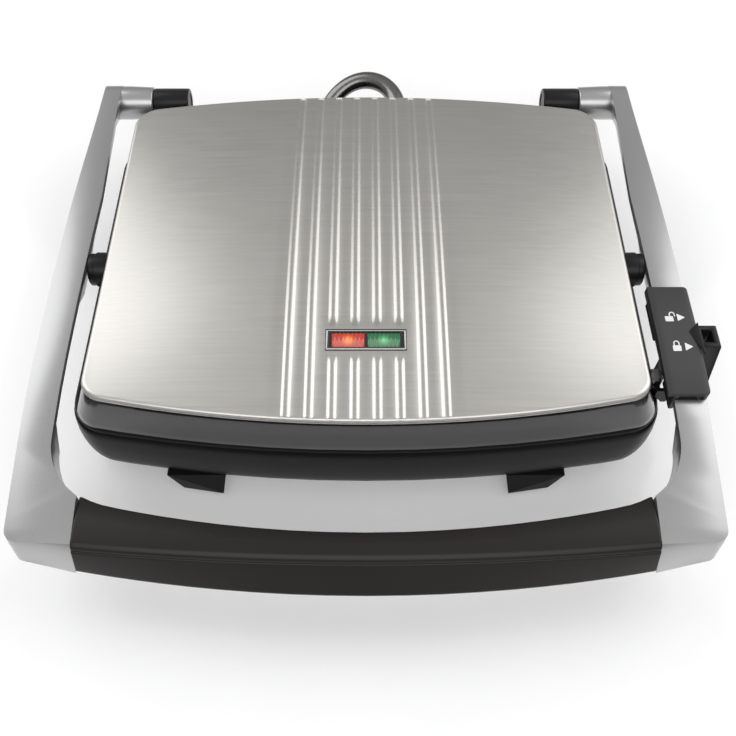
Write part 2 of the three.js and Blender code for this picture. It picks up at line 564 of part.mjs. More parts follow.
// ---------------------------------------------------------------- lid: housing and cover
const WINDOW = { y: [-65.6, -52.8], halfWidth: 21.5 };
const windowHole = box([-WINDOW.halfWidth - GAP, WINDOW.halfWidth + GAP],
  [WINDOW.y[0] - GAP, WINDOW.y[1] + GAP], [60, 110]);
const lidSkinUnder = raised(COVER_LEVELS, -SHEET - GAP).slice(2);
const lidOuter = bodyStack([...LID_LEVELS, [150.5, 2.6, LID_EDGE - 1.8], ...lidSkinUnder.slice(1)]);
const lidInner = bodyStack([
  [160.5, WALL, 40], [160.5, WALL, 52], [153, WALL, 70], [150.5, WALL + 2, LID_EDGE - 3],
  [150.5, 16 + WALL, LID_EDGE + 1], [150.5, 38 + WALL, LID_EDGE + 3.2], [150.5, 80 + WALL, LID_EDGE + 4.8],
]);
const lidGlandHole = cylinderY(GLAND_RADIUS - 1.5 + GAP, [BODY_REAR - 14, BODY_REAR + 8], LID_GLAND);
const pivotHole = cylinderX(BORE_RADIUS + 0.2, [-170, 170], PIVOT);
piece(lid, 'lid_housing', cut(lidOuter, lidInner, windowHole, lidGlandHole, pivotHole), 'gloss');

const coverUnder = bodyStack([
  [151, 0.2 + SHEET, LID_EDGE - 2], [150.5, 0.4 + SHEET, LID_EDGE],
  ...raised(COVER_LEVELS, -SHEET).slice(2),
]);
const GROOVE = { pitch: 11.9, width: 4.6, depth: 0.55, count: 8 };
const grooveBed = bodyStack([[150.5, 0, 60], ...raised(COVER_LEVELS, -GROOVE.depth).slice(1)]);
const coverGrooves = Array.from({ length: GROOVE.count }, (_, i) => {
  const x = (i - (GROOVE.count - 1) / 2) * GROOVE.pitch;
  const half = GROOVE.width / 2;
  const runs = Math.abs(x) < WINDOW.halfWidth ? [[-130, -69], [-49, 160]] : [[-130, 160]];
  return runs.map((run) => cut(box([x - half, x + half], run, [60, 110]), grooveBed));
}).flat();
piece(lid, 'lid_cover', cut(bodyStack(COVER_LEVELS), coverUnder, windowHole, ...coverGrooves), 'steel');

// ---------------------------------------------------------------- lid: plate, heater and lamps
const upperPlate = upsideDown(grillPlate()).translate(0, 0, UPPER_PLATE_BACK);
piece(lid, 'upper_grill_plate', upperPlate, 'plate');
const upperElement = upsideDown(heatingElement()).translate(0, 0, UPPER_PLATE_BACK + 3.6);
piece(lid, 'upper_heating_element', upperElement, 'heater');
const upperTrayHoles = [-22, 22].map((x) => box([x - 6, x + 6], [88, 100], [66, 80]));
const lampRoom = box([-26, 26], [-72, -46], [66, 80]);
const upperTray = upsideDown(reflectorTray(5)).translate(0, 0, 72.5);
piece(lid, 'upper_heat_reflector', cut(upperTray, ...upperTrayHoles, lampRoom), 'reflector');
piece(lid, 'upper_thermostat', cylinderZ(8, [60, 67], { x: 0, y: -36 }, 20), 'ceramic');

const lampTop = 87.2;
const bezelOuter = box([-WINDOW.halfWidth, WINDOW.halfWidth], WINDOW.y, [77, lampTop]);
const LENS = { width: 17.6, depth: 9.2, offset: 9.6, y: (WINDOW.y[0] + WINDOW.y[1]) / 2 };
function lensBox(side, grow, z) {
  const x = side * LENS.offset;
  const halfWidth = LENS.width / 2 + grow;
  const halfDepth = LENS.depth / 2 + grow;
  return box([x - halfWidth, x + halfWidth], [LENS.y - halfDepth, LENS.y + halfDepth], z);
}
const lensHoles = [-1, 1].map((side) => lensBox(side, GAP, [70, 95]));
piece(lid, 'indicator_bezel', cut(bezelOuter, ...lensHoles), 'gloss');
piece(lid, 'power_lens', lensBox(-1, 0, [82, lampTop - 0.4]), 'red');
piece(lid, 'ready_lens', lensBox(1, 0, [82, lampTop - 0.4]), 'green');
const lamp = (x) => cylinderX(2.4, [x - 6, x + 6], { y: LENS.y, z: 78.6 }, 12);
piece(lid, 'power_lamp', lamp(-LENS.offset), 'red');
piece(lid, 'ready_lamp', lamp(LENS.offset), 'green');

// ---------------------------------------------------------------- lid: side pivot bosses
const lidWall = bodyStack(grown([[161, 0, 45], ...LID_LEVELS, [151, 1, 85]], GAP));
const pivotBoss = cut(
  cylinderX(BOSS_RADIUS, [150, FRAME_INSIDE - GAP], PIVOT),
  lidWall,
  cylinderX(BORE_RADIUS, [140, 170], PIVOT),
);
piece(lid, 'right_pivot_boss', pivotBoss, 'black');
piece(lid, 'left_pivot_boss', mirrored(pivotBoss), 'black');

// ---------------------------------------------------------------- wiring conduit and its glands
function conduitGland(place, keepOut) {
  const collar = cylinderY(GLAND_RADIUS, [BODY_REAR - 3, BODY_REAR + 3.5], place);
  const stem = cylinderY(GLAND_RADIUS - 1.5, [BODY_REAR - 10, BODY_REAR + 1], place);
  const passage = cylinderY(4.2, [BODY_REAR - 12, BODY_REAR + 8], place);
  return cut(join(cut(collar, keepOut), stem), passage);
}
piece(base, 'base_conduit_gland', conduitGland(BASE_GLAND, baseSeat), 'black');
piece(lid, 'lid_conduit_gland', conduitGland(LID_GLAND, lidWall), 'black');

const conduitStart = BODY_REAR + 3.5 + GAP;
const arch = Array.from({ length: 9 }, (_, i) => {
  const angle = Math.PI * i / 8;
  return new THREE.Vector3(
    CONDUIT_X - CONDUIT_BEND * Math.cos(angle),
    conduitStart + 7 + CONDUIT_BEND * Math.sin(angle),
    BASE_GLAND.z + (LID_GLAND.z - BASE_GLAND.z) * i / 8 + 14.5 * Math.sin(angle),
  );
});
const conduitPath = new THREE.CatmullRomCurve3([
  new THREE.Vector3(BASE_GLAND.x, conduitStart, BASE_GLAND.z),
  new THREE.Vector3(BASE_GLAND.x, conduitStart + 4, BASE_GLAND.z),
  ...arch,
  new THREE.Vector3(LID_GLAND.x, conduitStart + 4, LID_GLAND.z),
  new THREE.Vector3(LID_GLAND.x, conduitStart, LID_GLAND.z),
], false, 'centripetal');
piece(base, 'wiring_conduit', rod(conduitPath, CONDUIT_RADIUS, 30, 10), 'conduit');

// ---------------------------------------------------------------- footprint to the origin
const extent = new THREE.Box3().setFromObject(press);
press.position.set(-(extent.min.x + extent.max.x) / 2, -(extent.min.y + extent.max.y) / 2, 0);

export default press;
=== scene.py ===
import math

import bmesh
import bpy
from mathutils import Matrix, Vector


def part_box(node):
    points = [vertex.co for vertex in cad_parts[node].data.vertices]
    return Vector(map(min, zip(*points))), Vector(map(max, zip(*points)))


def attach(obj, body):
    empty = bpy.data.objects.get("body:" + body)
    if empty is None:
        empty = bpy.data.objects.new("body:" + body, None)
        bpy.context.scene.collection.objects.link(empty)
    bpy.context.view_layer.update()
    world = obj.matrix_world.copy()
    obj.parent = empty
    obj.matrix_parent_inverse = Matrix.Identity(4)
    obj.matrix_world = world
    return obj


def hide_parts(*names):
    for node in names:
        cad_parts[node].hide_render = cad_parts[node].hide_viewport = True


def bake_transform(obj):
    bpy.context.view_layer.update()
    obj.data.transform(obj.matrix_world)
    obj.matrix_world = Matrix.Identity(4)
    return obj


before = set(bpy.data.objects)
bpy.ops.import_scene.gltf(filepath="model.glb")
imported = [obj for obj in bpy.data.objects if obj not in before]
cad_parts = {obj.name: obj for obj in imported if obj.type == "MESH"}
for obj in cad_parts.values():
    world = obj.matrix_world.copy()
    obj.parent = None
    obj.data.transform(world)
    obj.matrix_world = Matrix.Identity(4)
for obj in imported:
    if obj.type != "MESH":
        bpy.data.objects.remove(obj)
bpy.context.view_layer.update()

# ---------------------------------------------------------------- studio
# The press stands on a glossy pale worktop, seen from the front and above. Two large soft boxes
# hang left and right of it, a little behind, with a dimmer one in front and a plain pale ceiling.
MM = 0.001
cover_low, cover_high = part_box("lid_cover")
pivot_low, pivot_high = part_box("right_pivot_pin")
PIVOT = {"y": 8, "z": 64}  # side pivots, in the maker's millimetres round the middle of the body
ORIGIN = Vector(((cover_low.x + cover_high.x) / 2, (pivot_low.y + pivot_high.y) / 2 - PIVOT["y"] * MM, 0))

bpy.context.scene.view_settings.view_transform = "Standard"
bpy.ops.object.select_all(action="DESELECT")
bpy.ops.object.camera_add(location=ORIGIN + Vector((0, -0.323, 0.4652)), rotation=(math.radians(33), 0, 0))
camera = bpy.context.object
camera.data.sensor_width = 36
camera.data.lens = 42.09
camera.data.shift_x = 0.0027
camera.data.clip_start = 0.01
bpy.context.scene.camera = camera


def soft_box(place, target, size, power):
    """A rectangular lamp, placed and aimed in metres from the worktop under the body's middle."""
    bpy.ops.object.light_add(type="AREA", location=ORIGIN + Vector(place))
    lamp = bpy.context.object
    lamp.data.shape = "RECTANGLE"
    lamp.data.size, lamp.data.size_y = size
    lamp.data.energy = power
    aim = ORIGIN + Vector(target) - lamp.location
    lamp.rotation_euler = aim.to_track_quat("-Z", "Y").to_euler()


soft_box((-1.6, 0.9, 1.3), (0, 0, 0.05), (1.6, 2.0), 17)
soft_box((1.6, 0.7, 1.3), (0, 0, 0.05), (1.6, 2.0), 17)
soft_box((0, -1.3, 1.5), (0, 0, 0), (2.2, 1.0), 12)

world = bpy.data.worlds.new("studio_air")
bpy.context.scene.world = world
world.use_nodes = True
air = world.node_tree
height = air.nodes.new("ShaderNodeSeparateXYZ")
direction = air.nodes.new("ShaderNodeTexCoord")
sky = air.nodes.new("ShaderNodeValToRGB")
sky.color_ramp.elements[0].position = 0.25
sky.color_ramp.elements[0].color = (0.34, 0.34, 0.335, 1)
sky.color_ramp.elements[1].position = 1.0
sky.color_ramp.elements[1].color = (0.60, 0.60, 0.59, 1)
air.links.new(direction.outputs["Generated"], height.inputs[0])
air.links.new(height.outputs["Z"], sky.inputs[0])
air.links.new(sky.outputs[0], air.nodes["Background"].inputs["Color"])
air.nodes["Background"].inputs["Strength"].default_value = 1.0

bpy.ops.mesh.primitive_plane_add(size=8, location=(0, 0, 0))
worktop = bpy.context.object
worktop.name = "worktop"


# ---------------------------------------------------------------- brushed lid cover
# The cover is one sheet of stainless steel, drawn into a shallow dome with eight pressed grooves
# from front to rear and a window for the lamps, then brushed across and clipped on the lid.
class Signal:
    """A socket's output, which Python arithmetic turns into Math nodes."""

    def __init__(self, finish, socket):
        self.finish = finish
        self.socket = socket

    def math(self, operation, first, second):
        return self.finish.node("ShaderNodeMath", {"operation": operation}, {0: first, 1: second})

    def __add__(self, other):
        return self.math("ADD", self, other)

    def __mul__(self, other):
        return self.math("MULTIPLY", self, other)

    def __rsub__(self, other):
        return self.math("SUBTRACT", other, self)


class Finish:
    """A material, its Principled shader with constants set on it, and the nodes that vary over the surface."""

    def __init__(self, name, **constants):
        self.material = bpy.data.materials.new(name)
        self.material.use_nodes = True
        self.tree = self.material.node_tree
        self.shader = self.tree.nodes["Principled BSDF"]
        for socket, value in constants.items():
            self.shader.inputs[socket.replace("_", " ")].default_value = value

    def node(self, kind, settings, sockets, out=0):
        made = self.tree.nodes.new(kind)
        for key, value in settings.items():
            if key == "stops":
                for stop, (position, colour) in zip(made.color_ramp.elements, value):
                    stop.position = position
                    stop.color = colour
            else:
                setattr(made, key, value)
        for key, value in sockets.items():
            if isinstance(value, Signal):
                self.tree.links.new(value.socket, made.inputs[key])
            else:
                made.inputs[key].default_value = value
        return Signal(self, made.outputs[out])

    def place(self, stretch=(1, 1, 1)):
        here = self.node("ShaderNodeTexCoord", {}, {}, out="Object")
        return self.node("ShaderNodeMapping", {}, {"Vector": here, "Scale": stretch})

    def noise(self, scale, stretch=(1, 1, 1), detail=4):
        return self.node("ShaderNodeTexNoise", {}, {
            "Vector": self.place(stretch), "Scale": scale, "Detail": detail, "Roughness": 0.6})

    def between(self, mask, dark, light):
        return self.node("ShaderNodeMix", {"data_type": "RGBA"}, {
            "Factor": mask, 6: (*dark, 1), 7: (*light, 1)}, out=2)

    def bump(self, height, depth):
        return self.node("ShaderNodeBump", {}, {"Height": height, "Strength": 1.0, "Distance": depth})

    def wire(self, **sockets):
        for socket, signal in sockets.items():
            self.tree.links.new(signal.socket, self.shader.inputs[socket.replace("_", " ")])
        return self.material


def brushed(name, dark, light, roughness, stretch, depth):
    """Bare metal with fine strokes, drawn out along the axis where stretch is small."""
    finish = Finish(name, Metallic=1.0)
    strokes = finish.noise(700, stretch, detail=3)
    clouds = finish.noise(9, (1, 1, 1))
    return finish.wire(
        Base_Color=finish.between(strokes * 0.7 + clouds * 0.3, dark, light),
        Roughness=strokes * 0.12 + (clouds * 0.06 + (roughness - 0.09)),
        Normal=finish.bump(strokes, depth))


def start(primitive, **settings):
    """Adds a primitive in millimetres and opens it for editing with nothing selected."""
    bpy.ops.object.select_all(action="DESELECT")
    primitive(**settings)
    bpy.ops.object.transform_apply()
    bpy.ops.object.mode_set(mode="EDIT")
    bpy.ops.mesh.select_all(action="DESELECT")


def block(x, y, z):
    """A cube primitive from x[0] to x[1], y[0] to y[1] and z[0] to z[1], open for editing."""
    start(bpy.ops.mesh.primitive_cube_add, size=1, scale=(x[1] - x[0], y[1] - y[0], z[1] - z[0]),
          location=((x[0] + x[1]) / 2, (y[0] + y[1]) / 2, (z[0] + z[1]) / 2))


def sheet(x, y, z):
    """A plane primitive from x[0] to x[1] and y[0] to y[1] at height z, open for editing."""
    start(bpy.ops.mesh.primitive_plane_add, size=1)
    bpy.ops.mesh.select_all(action="SELECT")
    bpy.ops.transform.resize(value=(x[1] - x[0], y[1] - y[0], 1), center_override=(0, 0, 0))
    bpy.ops.transform.translate(value=((x[0] + x[1]) / 2, (y[0] + y[1]) / 2, z))


def select(kind, test):
    """Selects the vertices, edges or faces whose middle and normal (an edge's direction) pass the test."""
    bpy.ops.mesh.select_mode(type=kind)
    bpy.ops.mesh.select_all(action="DESELECT")
    shape = bmesh.from_edit_mesh(bpy.context.object.data)
    for item in {"VERT": shape.verts, "EDGE": shape.edges, "FACE": shape.faces}[kind]:
        if kind == "VERT":
            at, along = item.co, item.normal
        elif kind == "EDGE":
            ends = [v.co for v in item.verts]
            at, along = (ends[0] + ends[1]) / 2, (ends[1] - ends[0]).normalized()
        else:
            at, along = item.calc_center_median(), item.normal
        item.select_set(bool(test(at, along)))
    shape.select_flush_mode()
    bmesh.update_edit_mesh(bpy.context.object.data)


def move(test, by):
    """Moves the vertices that pass the test."""
    select("VERT", lambda at, along: test(at))
    bpy.ops.transform.translate(value=by)


def slice_at(axis, *places):
    """Cuts new edges right across the open piece at these places along an axis."""
    normal = {"x": (1, 0, 0), "y": (0, 1, 0), "z": (0, 0, 1)}[axis]
    for place in places:
        bpy.ops.mesh.select_all(action="SELECT")
        bpy.ops.mesh.bisect(plane_co=tuple(place * n for n in normal), plane_no=normal)


def modify(kind, **settings):
    """Adds a modifier to the open piece and applies it at once."""
    bpy.ops.object.mode_set(mode="OBJECT")
    modifier = bpy.context.object.modifiers.new(kind, kind)
    for key, value in settings.items():
        setattr(modifier, key, value)
    bpy.ops.object.modifier_apply(modifier=modifier.name)
    bpy.ops.object.mode_set(mode="EDIT")


def soften(width, segments=3, angle=30):
    """Rounds the open piece's edges that are sharper than the angle."""
    modify("BEVEL", width=width, segments=segments, limit_method="ANGLE", angle_limit=math.radians(angle))


def face_out():
    """Welds the open piece and turns its faces outward."""
    bpy.ops.mesh.select_all(action="SELECT")
    bpy.ops.mesh.remove_doubles(threshold=0.001)
    bpy.ops.mesh.normals_make_consistent(inside=False)


def settle(name, material, smooth=35):
    """Closes the piece's editing and moves its mesh from millimetres into the frame."""
    bpy.ops.object.mode_set(mode="OBJECT")
    shape = bpy.context.object
    shape.name = name
    shape.scale = (MM, MM, MM)
    shape.location = ORIGIN
    bpy.ops.object.transform_apply()
    bpy.ops.object.shade_smooth_by_angle(angle=math.radians(smooth))
    shape.data.materials.clear()
    shape.data.materials.append(material)
    return shape


BODY = {"front": -107, "rear": 143, "front_bow": 16, "rear_bow": 14}
BODY_MIDDLE = (BODY["front"] + BODY["rear"]) / 2


def body_outline(half_width, inset, z, corners):
    """The body's plan as one face: bowed front and rear edges between rounded corners."""
    half_depth = (BODY["rear"] - BODY["front"]) / 2 - inset
    start(bpy.ops.mesh.primitive_plane_add, size=2, location=(0, BODY_MIDDLE, z))
    bpy.ops.mesh.select_all(action="SELECT")
    bpy.ops.transform.resize(value=(half_width, half_depth, 1), center_override=(0, BODY_MIDDLE, z))
    for end, bow in ((-1, BODY["front_bow"]), (1, -BODY["rear_bow"])):
        edge = BODY_MIDDLE + end * half_depth
        select("EDGE", lambda at, along: abs(at.y - edge) < 0.1)
        bpy.ops.mesh.subdivide(number_cuts=11)
        for i in range(7):
            x = half_width * i / 6
            move(lambda at: abs(abs(at.x) - x) < 0.5 and abs(at.y - edge) < 0.01,
                 (0, bow * (i / 6) ** 2 + 0.02 * end, 0))
    for end, radius in ((-1, corners[0]), (1, corners[1])):
        select("VERT", lambda at, along: abs(at.x) > half_width - 0.1 and (at.y - BODY_MIDDLE) * end > 0)
        bpy.ops.mesh.bevel(affect="VERTICES", offset=radius, segments=8)


def body_levels(first, levels):
    """Draws the selected plan up through [half width, inset, height] levels."""
    depth = BODY["rear"] - BODY["front"]
    width, inset, z = first
    for next_width, next_inset, next_z in levels:
        bpy.ops.mesh.extrude_region_move(TRANSFORM_OT_translate={"value": (0, 0, next_z - z)})
        bpy.ops.transform.resize(
            value=(next_width / width, (depth - 2 * next_inset) / (depth - 2 * inset), 1),
            center_override=(0, BODY_MIDDLE, 0))
        width, inset, z = next_width, next_inset, next_z


RIM = 80  # height of the cover's rim
COVER = {"half_width": 148.6, "inset": 2.4, "edge": RIM + 1.9, "rise": 7.5, "corners": (10, 13)}
GROOVE = {"pitch": 11.9, "count": 8, "section": [(0.8, 0.95), (1.5, 0.72), (2.2, 0.2), (2.8, 0)]}
GROOVE_STOP = {"front": -69, "rear": -49, "ramp": 2}
WINDOW = {"half_width": 21.8, "front": -65.9, "rear": -52.5}
groove_places = [(i - (GROOVE["count"] - 1) / 2) * GROOVE["pitch"] for i in range(GROOVE["count"])]


def cover_end(x, end):
    """Where the cover's bowed front (end -1) or rear (end 1) edge lies, with its corner radius."""
    radius = COVER["corners"][0 if end < 0 else 1]
    over = max(0, abs(x) - COVER["half_width"] + radius)
    bow = BODY["front_bow"] if end < 0 else BODY["rear_bow"]
    drawn_in = COVER["inset"] + bow * (x / COVER["half_width"]) ** 2 + radius - math.sqrt(radius ** 2 - over ** 2)
    return (BODY["front"] + drawn_in) if end < 0 else (BODY["rear"] - drawn_in)


front, rear = BODY["front"], BODY["rear"]
sheet((-COVER["half_width"], COVER["half_width"]), (front, rear), COVER["edge"])
corner = COVER["corners"][1]
corner_columns = [COVER["half_width"] - corner * (1 - math.sin(math.radians(a))) for a in range(0, 90, 10)]
panel_columns = [52 + 7 * i for i in range(12)] + corner_columns + [WINDOW["half_width"], COVER["half_width"]]
groove_columns = [c + side * reach for c in groove_places for reach, _ in GROOVE["section"] for side in (-1, 1)]
columns = sorted({round(side * x, 3) for side in (-1, 1) for x in panel_columns}
                 | {round(x, 3) for x in groove_columns})
slice_at("x", *columns[1:-1])
row_places = [front + (rear - front) * (1 - math.cos(math.pi * i / 30)) / 2 for i in range(31)]
slice_at("y", *row_places[1:-1])
for row in row_places:
    v = 2 * (row - BODY_MIDDLE) / (rear - front)
    move(lambda at: abs(at.y - row) < 0.01, (0, 0, COVER["rise"] * (1 - abs(v) ** 2.3)))
for x in columns:  # each column shrinks to the bowed ends, and its dome to nothing at the sides
    squeeze = (cover_end(x, 1) - cover_end(x, -1)) / (rear - front)
    select("VERT", lambda at, along: abs(at.x - x) < 0.01)
    bpy.ops.transform.resize(value=(1, squeeze, 1 - abs(x / COVER["half_width"]) ** 3),
                             center_override=(x, 0, COVER["edge"]))
    bpy.ops.transform.translate(value=(0, cover_end(x, -1) - front * squeeze, 0))
bpy.ops.mesh.select_all(action="SELECT")
bpy.ops.mesh.region_to_loop()
width, inset, z = COVER["half_width"], COVER["inset"], COVER["edge"]
for next_width, next_inset, next_z in (
        (149.4, 1.6, RIM + 1.7), (150.1, 0.9, RIM + 1.2), (150.55, 0.45, RIM + 0.5), (150.75, 0.25, RIM - 0.2),
        (150.8, 0.2, RIM - 1)):
    bpy.ops.mesh.extrude_edges_move(TRANSFORM_OT_translate={"value": (0, 0, next_z - z)})
    bpy.ops.transform.resize(
        value=(next_width / width, (rear - front - 2 * next_inset) / (rear - front - 2 * inset), 1),
        center_override=(0, BODY_MIDDLE, 0))
    width, inset, z = next_width, next_inset, next_z

slice_at("y", GROOVE_STOP["front"] - GROOVE_STOP["ramp"], GROOVE_STOP["front"], WINDOW["front"],
         WINDOW["rear"], GROOVE_STOP["rear"], GROOVE_STOP["rear"] + GROOVE_STOP["ramp"])
for centre in groove_places:
    broken = abs(centre) < WINDOW["half_width"]
    for reach, drop in GROOVE["section"][:-1]:
        move(lambda at: abs(abs(at.x - centre) - reach) < 0.02 and at.z > RIM + 0.2 and not (
            broken and GROOVE_STOP["front"] - 0.1 < at.y < GROOVE_STOP["rear"] + 0.1), (0, 0, -drop))
select("FACE", lambda at, along: abs(at.x) < WINDOW["half_width"] and WINDOW["front"] < at.y < WINDOW["rear"])
bpy.ops.mesh.delete(type="FACE")
face_out()
modify("SOLIDIFY", thickness=1.0, offset=-1)
brushed_steel = brushed("brushed_steel", (0.5, 0.49, 0.465), (0.68, 0.665, 0.635), 0.34, (0.02, 1, 1), 0.00002)
cover = settle("domed_cover", brushed_steel, smooth=40)
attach(cover, "lid")
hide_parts("lid_cover")

# ---------------------------------------------------------------- lid housing
# The lid's body is one glossy black moulding, its walls leaning in towards the cover.
def moulded(name, dark, light, roughness, grain, depth, **constants):
    """Moulded plastic, or a sprayed coat, with faint clouds of wear and a pitted grain."""
    finish = Finish(name, **constants)
    clouds = finish.noise(14)
    pits = finish.noise(grain, detail=2)
    return finish.wire(
        Base_Color=finish.between(clouds, dark, light),
        Roughness=clouds * 0.08 + (pits * 0.04 + (roughness - 0.06)),
        Normal=finish.bump(pits, depth))


gloss_black = moulded("gloss_black", (0.008, 0.008, 0.009), (0.014, 0.014, 0.017), 0.16, 260, 0.000004,
                      Coat_Weight=0.35, Coat_Roughness=0.08)
body_outline(160.2, 0.8, 50.4, (12, 15))
select("FACE", lambda at, along: True)
body_levels((160.2, 0.8, 50.4), [
    (160.9, 0.1, 50.8), (161, 0, 51.6), (159.3, 0, 55.4), (157.4, 0.05, 60), (155.4, 0.2, 65), (153.2, 0.5, 70),
    (151.3, 0.9, 74.4), (150.1, 1.3, 77.2), (149.3, 2, 78.2), (147.5, 3.6, 79.5), (144, 7, 80.2), (134.5, 16.5, 80.6),
    (112.5, 38.5, 82), (84.5, 66.5, 83)])
select("FACE", lambda at, along: at.z < 50.5 and abs(along.z) > 0.9)
bpy.ops.mesh.delete(type="FACE")
slice_at("x", -WINDOW["half_width"], WINDOW["half_width"])
slice_at("y", WINDOW["front"], WINDOW["rear"])
select("FACE", lambda at, along: abs(at.x) < WINDOW["half_width"] and WINDOW["front"] < at.y < WINDOW["rear"])
bpy.ops.mesh.delete(type="FACE")
face_out()
modify("SOLIDIFY", thickness=2.5, offset=-1)
housing = settle("lid_body", gloss_black)
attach(housing, "lid")
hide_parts("lid_housing")

# ---------------------------------------------------------------- base housing
# The base is a satin black moulding with a raised lip under the lid, bulging out above its feet.
satin_black = moulded("satin_black", (0.007, 0.007, 0.008), (0.012, 0.012, 0.013), 0.34, 900, 0.00001,
                      Specular_IOR_Level=0.14)
body_outline(161.9, 0.6, 14.5, (18, 18))
select("FACE", lambda at, along: True)
body_levels((161.9, 0.6, 14.5), [
    (162.7, -0.4, 14.9), (163.5, -2, 17), (164.5, -2.6, 20.5), (165.4, -2.8, 25), (165.9, -2.7, 31), (166, -2.5, 36),
    (165.7, -1.8, 41.5), (165.5, -1.4, 44), (165.2, -0.8, 44.9), (164.4, 0.2, 45.1), (164.2, 0.4, 45.9),
    (164.7, 0.3, 46.4), (164.6, 0.6, 47.5), (164, 1.2, 48.6), (162.5, 2.4, 49.5), (160.8, 4, 49.6), (158.8, 6, 49.2),
    (158.4, 6.4, 42)])
select("FACE", lambda at, along: (at.z < 14.6 or 41.9 < at.z < 42.1) and abs(along.z) > 0.9)
bpy.ops.mesh.delete(type="FACE")
face_out()
modify("SOLIDIFY", thickness=2.2, offset=-1)
base_body = settle("base_body", satin_black)
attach(base_body, "base")
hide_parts("base_housing")

# ---------------------------------------------------------------- handle arms
# Each arm is a silver-painted die casting: a wide flat top with a thin rim, an underside that
# slopes in, a rounded heel at the hinge and a chamfered front corner that holds the grip.
HINGE = {"y": 167.6, "z": 55.2}
ARM = {"outside": 182.5, "inside": 165, "heel": 171, "grip": 148.3, "heel_radius": 11.7, "rim": 3.6, "undercut": 4.4,
       "fillet": 34, "fillet_start": -108.3, "fillet_turn": 51, "ridge": -162.4}
ARM_TOP = [(ARM["ridge"], 56), (-150, 58.4), (-130, 62.3), (-112, 65.8), (-98, 68.2), (-80, 70.6), (-60, 72.2),
           (-30, 73.5), (0, 74), (30, 73.8), (60, 73), (90, 71.3), (120, 69.2), (145, 67.8),
           (HINGE["y"], HINGE["z"] + ARM["heel_radius"])]
ARM_UNDER = [(-172, 39), (-152, 39.2), (-130, 47), (-98, 54), (-60, 58), (-14, 59), (-4, 55), (20, 55), (30, 58.5),
             (60, 59), (120, 56), (145, 53), (HINGE["y"] - 9, HINGE["z"] - 7.5)]
SLEEVE = {"inside": 160.5, "outside": 183.5, "front": -86, "rear": -15.5, "roof": 71.8, "top": 77.5, "skirt": 59}


def along_line(points, y):
    """The height of a line of (y, z) points, which rise in y."""
    if y < points[0][0]:
        return points[0][1]
    for (y0, z0), (y1, z1) in zip(points, points[1:]):
        if y <= y1:
            return z0 + (z1 - z0) * (y - y0) / (y1 - y0)
    return points[-1][1]


def heel_reach(y):
    """Half the height of the rounded heel at y."""
    return math.sqrt(max(0.01, ARM["heel_radius"] ** 2 - (y - HINGE["y"]) ** 2))


def arm_height(y):
    """Height of the arm's top at y."""
    return HINGE["z"] + heel_reach(y) if y > HINGE["y"] else along_line(ARM_TOP, y)


def arm_under(y):
    """Height of the arm's underside at y."""
    return HINGE["z"] - heel_reach(y) if y > ARM_UNDER[-1][0] else along_line(ARM_UNDER, y)


def rows():
    """The y places where the open piece has vertices."""
    shape = bmesh.from_edit_mesh(bpy.context.object.data)
    return sorted({round(v.co.y, 2) for v in shape.verts})


def mirror_piece():
    """Turns the open right-hand piece into the left-hand one."""
    bpy.ops.mesh.select_all(action="SELECT")
    bpy.ops.transform.resize(value=(-1, 1, 1), center_override=(0, 0, 0))
    bpy.ops.mesh.normals_make_consistent(inside=False)


silver = Finish("silver_paint", Metallic=0.85, Coat_Weight=0.35, Coat_Roughness=0.12)
flake = silver.noise(2600, detail=2)
haze = silver.noise(7)
silver_paint = silver.wire(
    Base_Color=silver.between(haze * 0.5 + flake * 0.5, (0.38, 0.38, 0.385), (0.54, 0.54, 0.545)),
    Roughness=flake * 0.10 + (haze * 0.06 + 0.22),
    Normal=silver.bump(flake, 0.000008))


def flatten(test, z):
    """Brings the vertices that pass the test to one height."""
    select("VERT", lambda at, along: test(at))
    bpy.ops.transform.resize(value=(1, 1, 0), center_override=(0, 0, z))


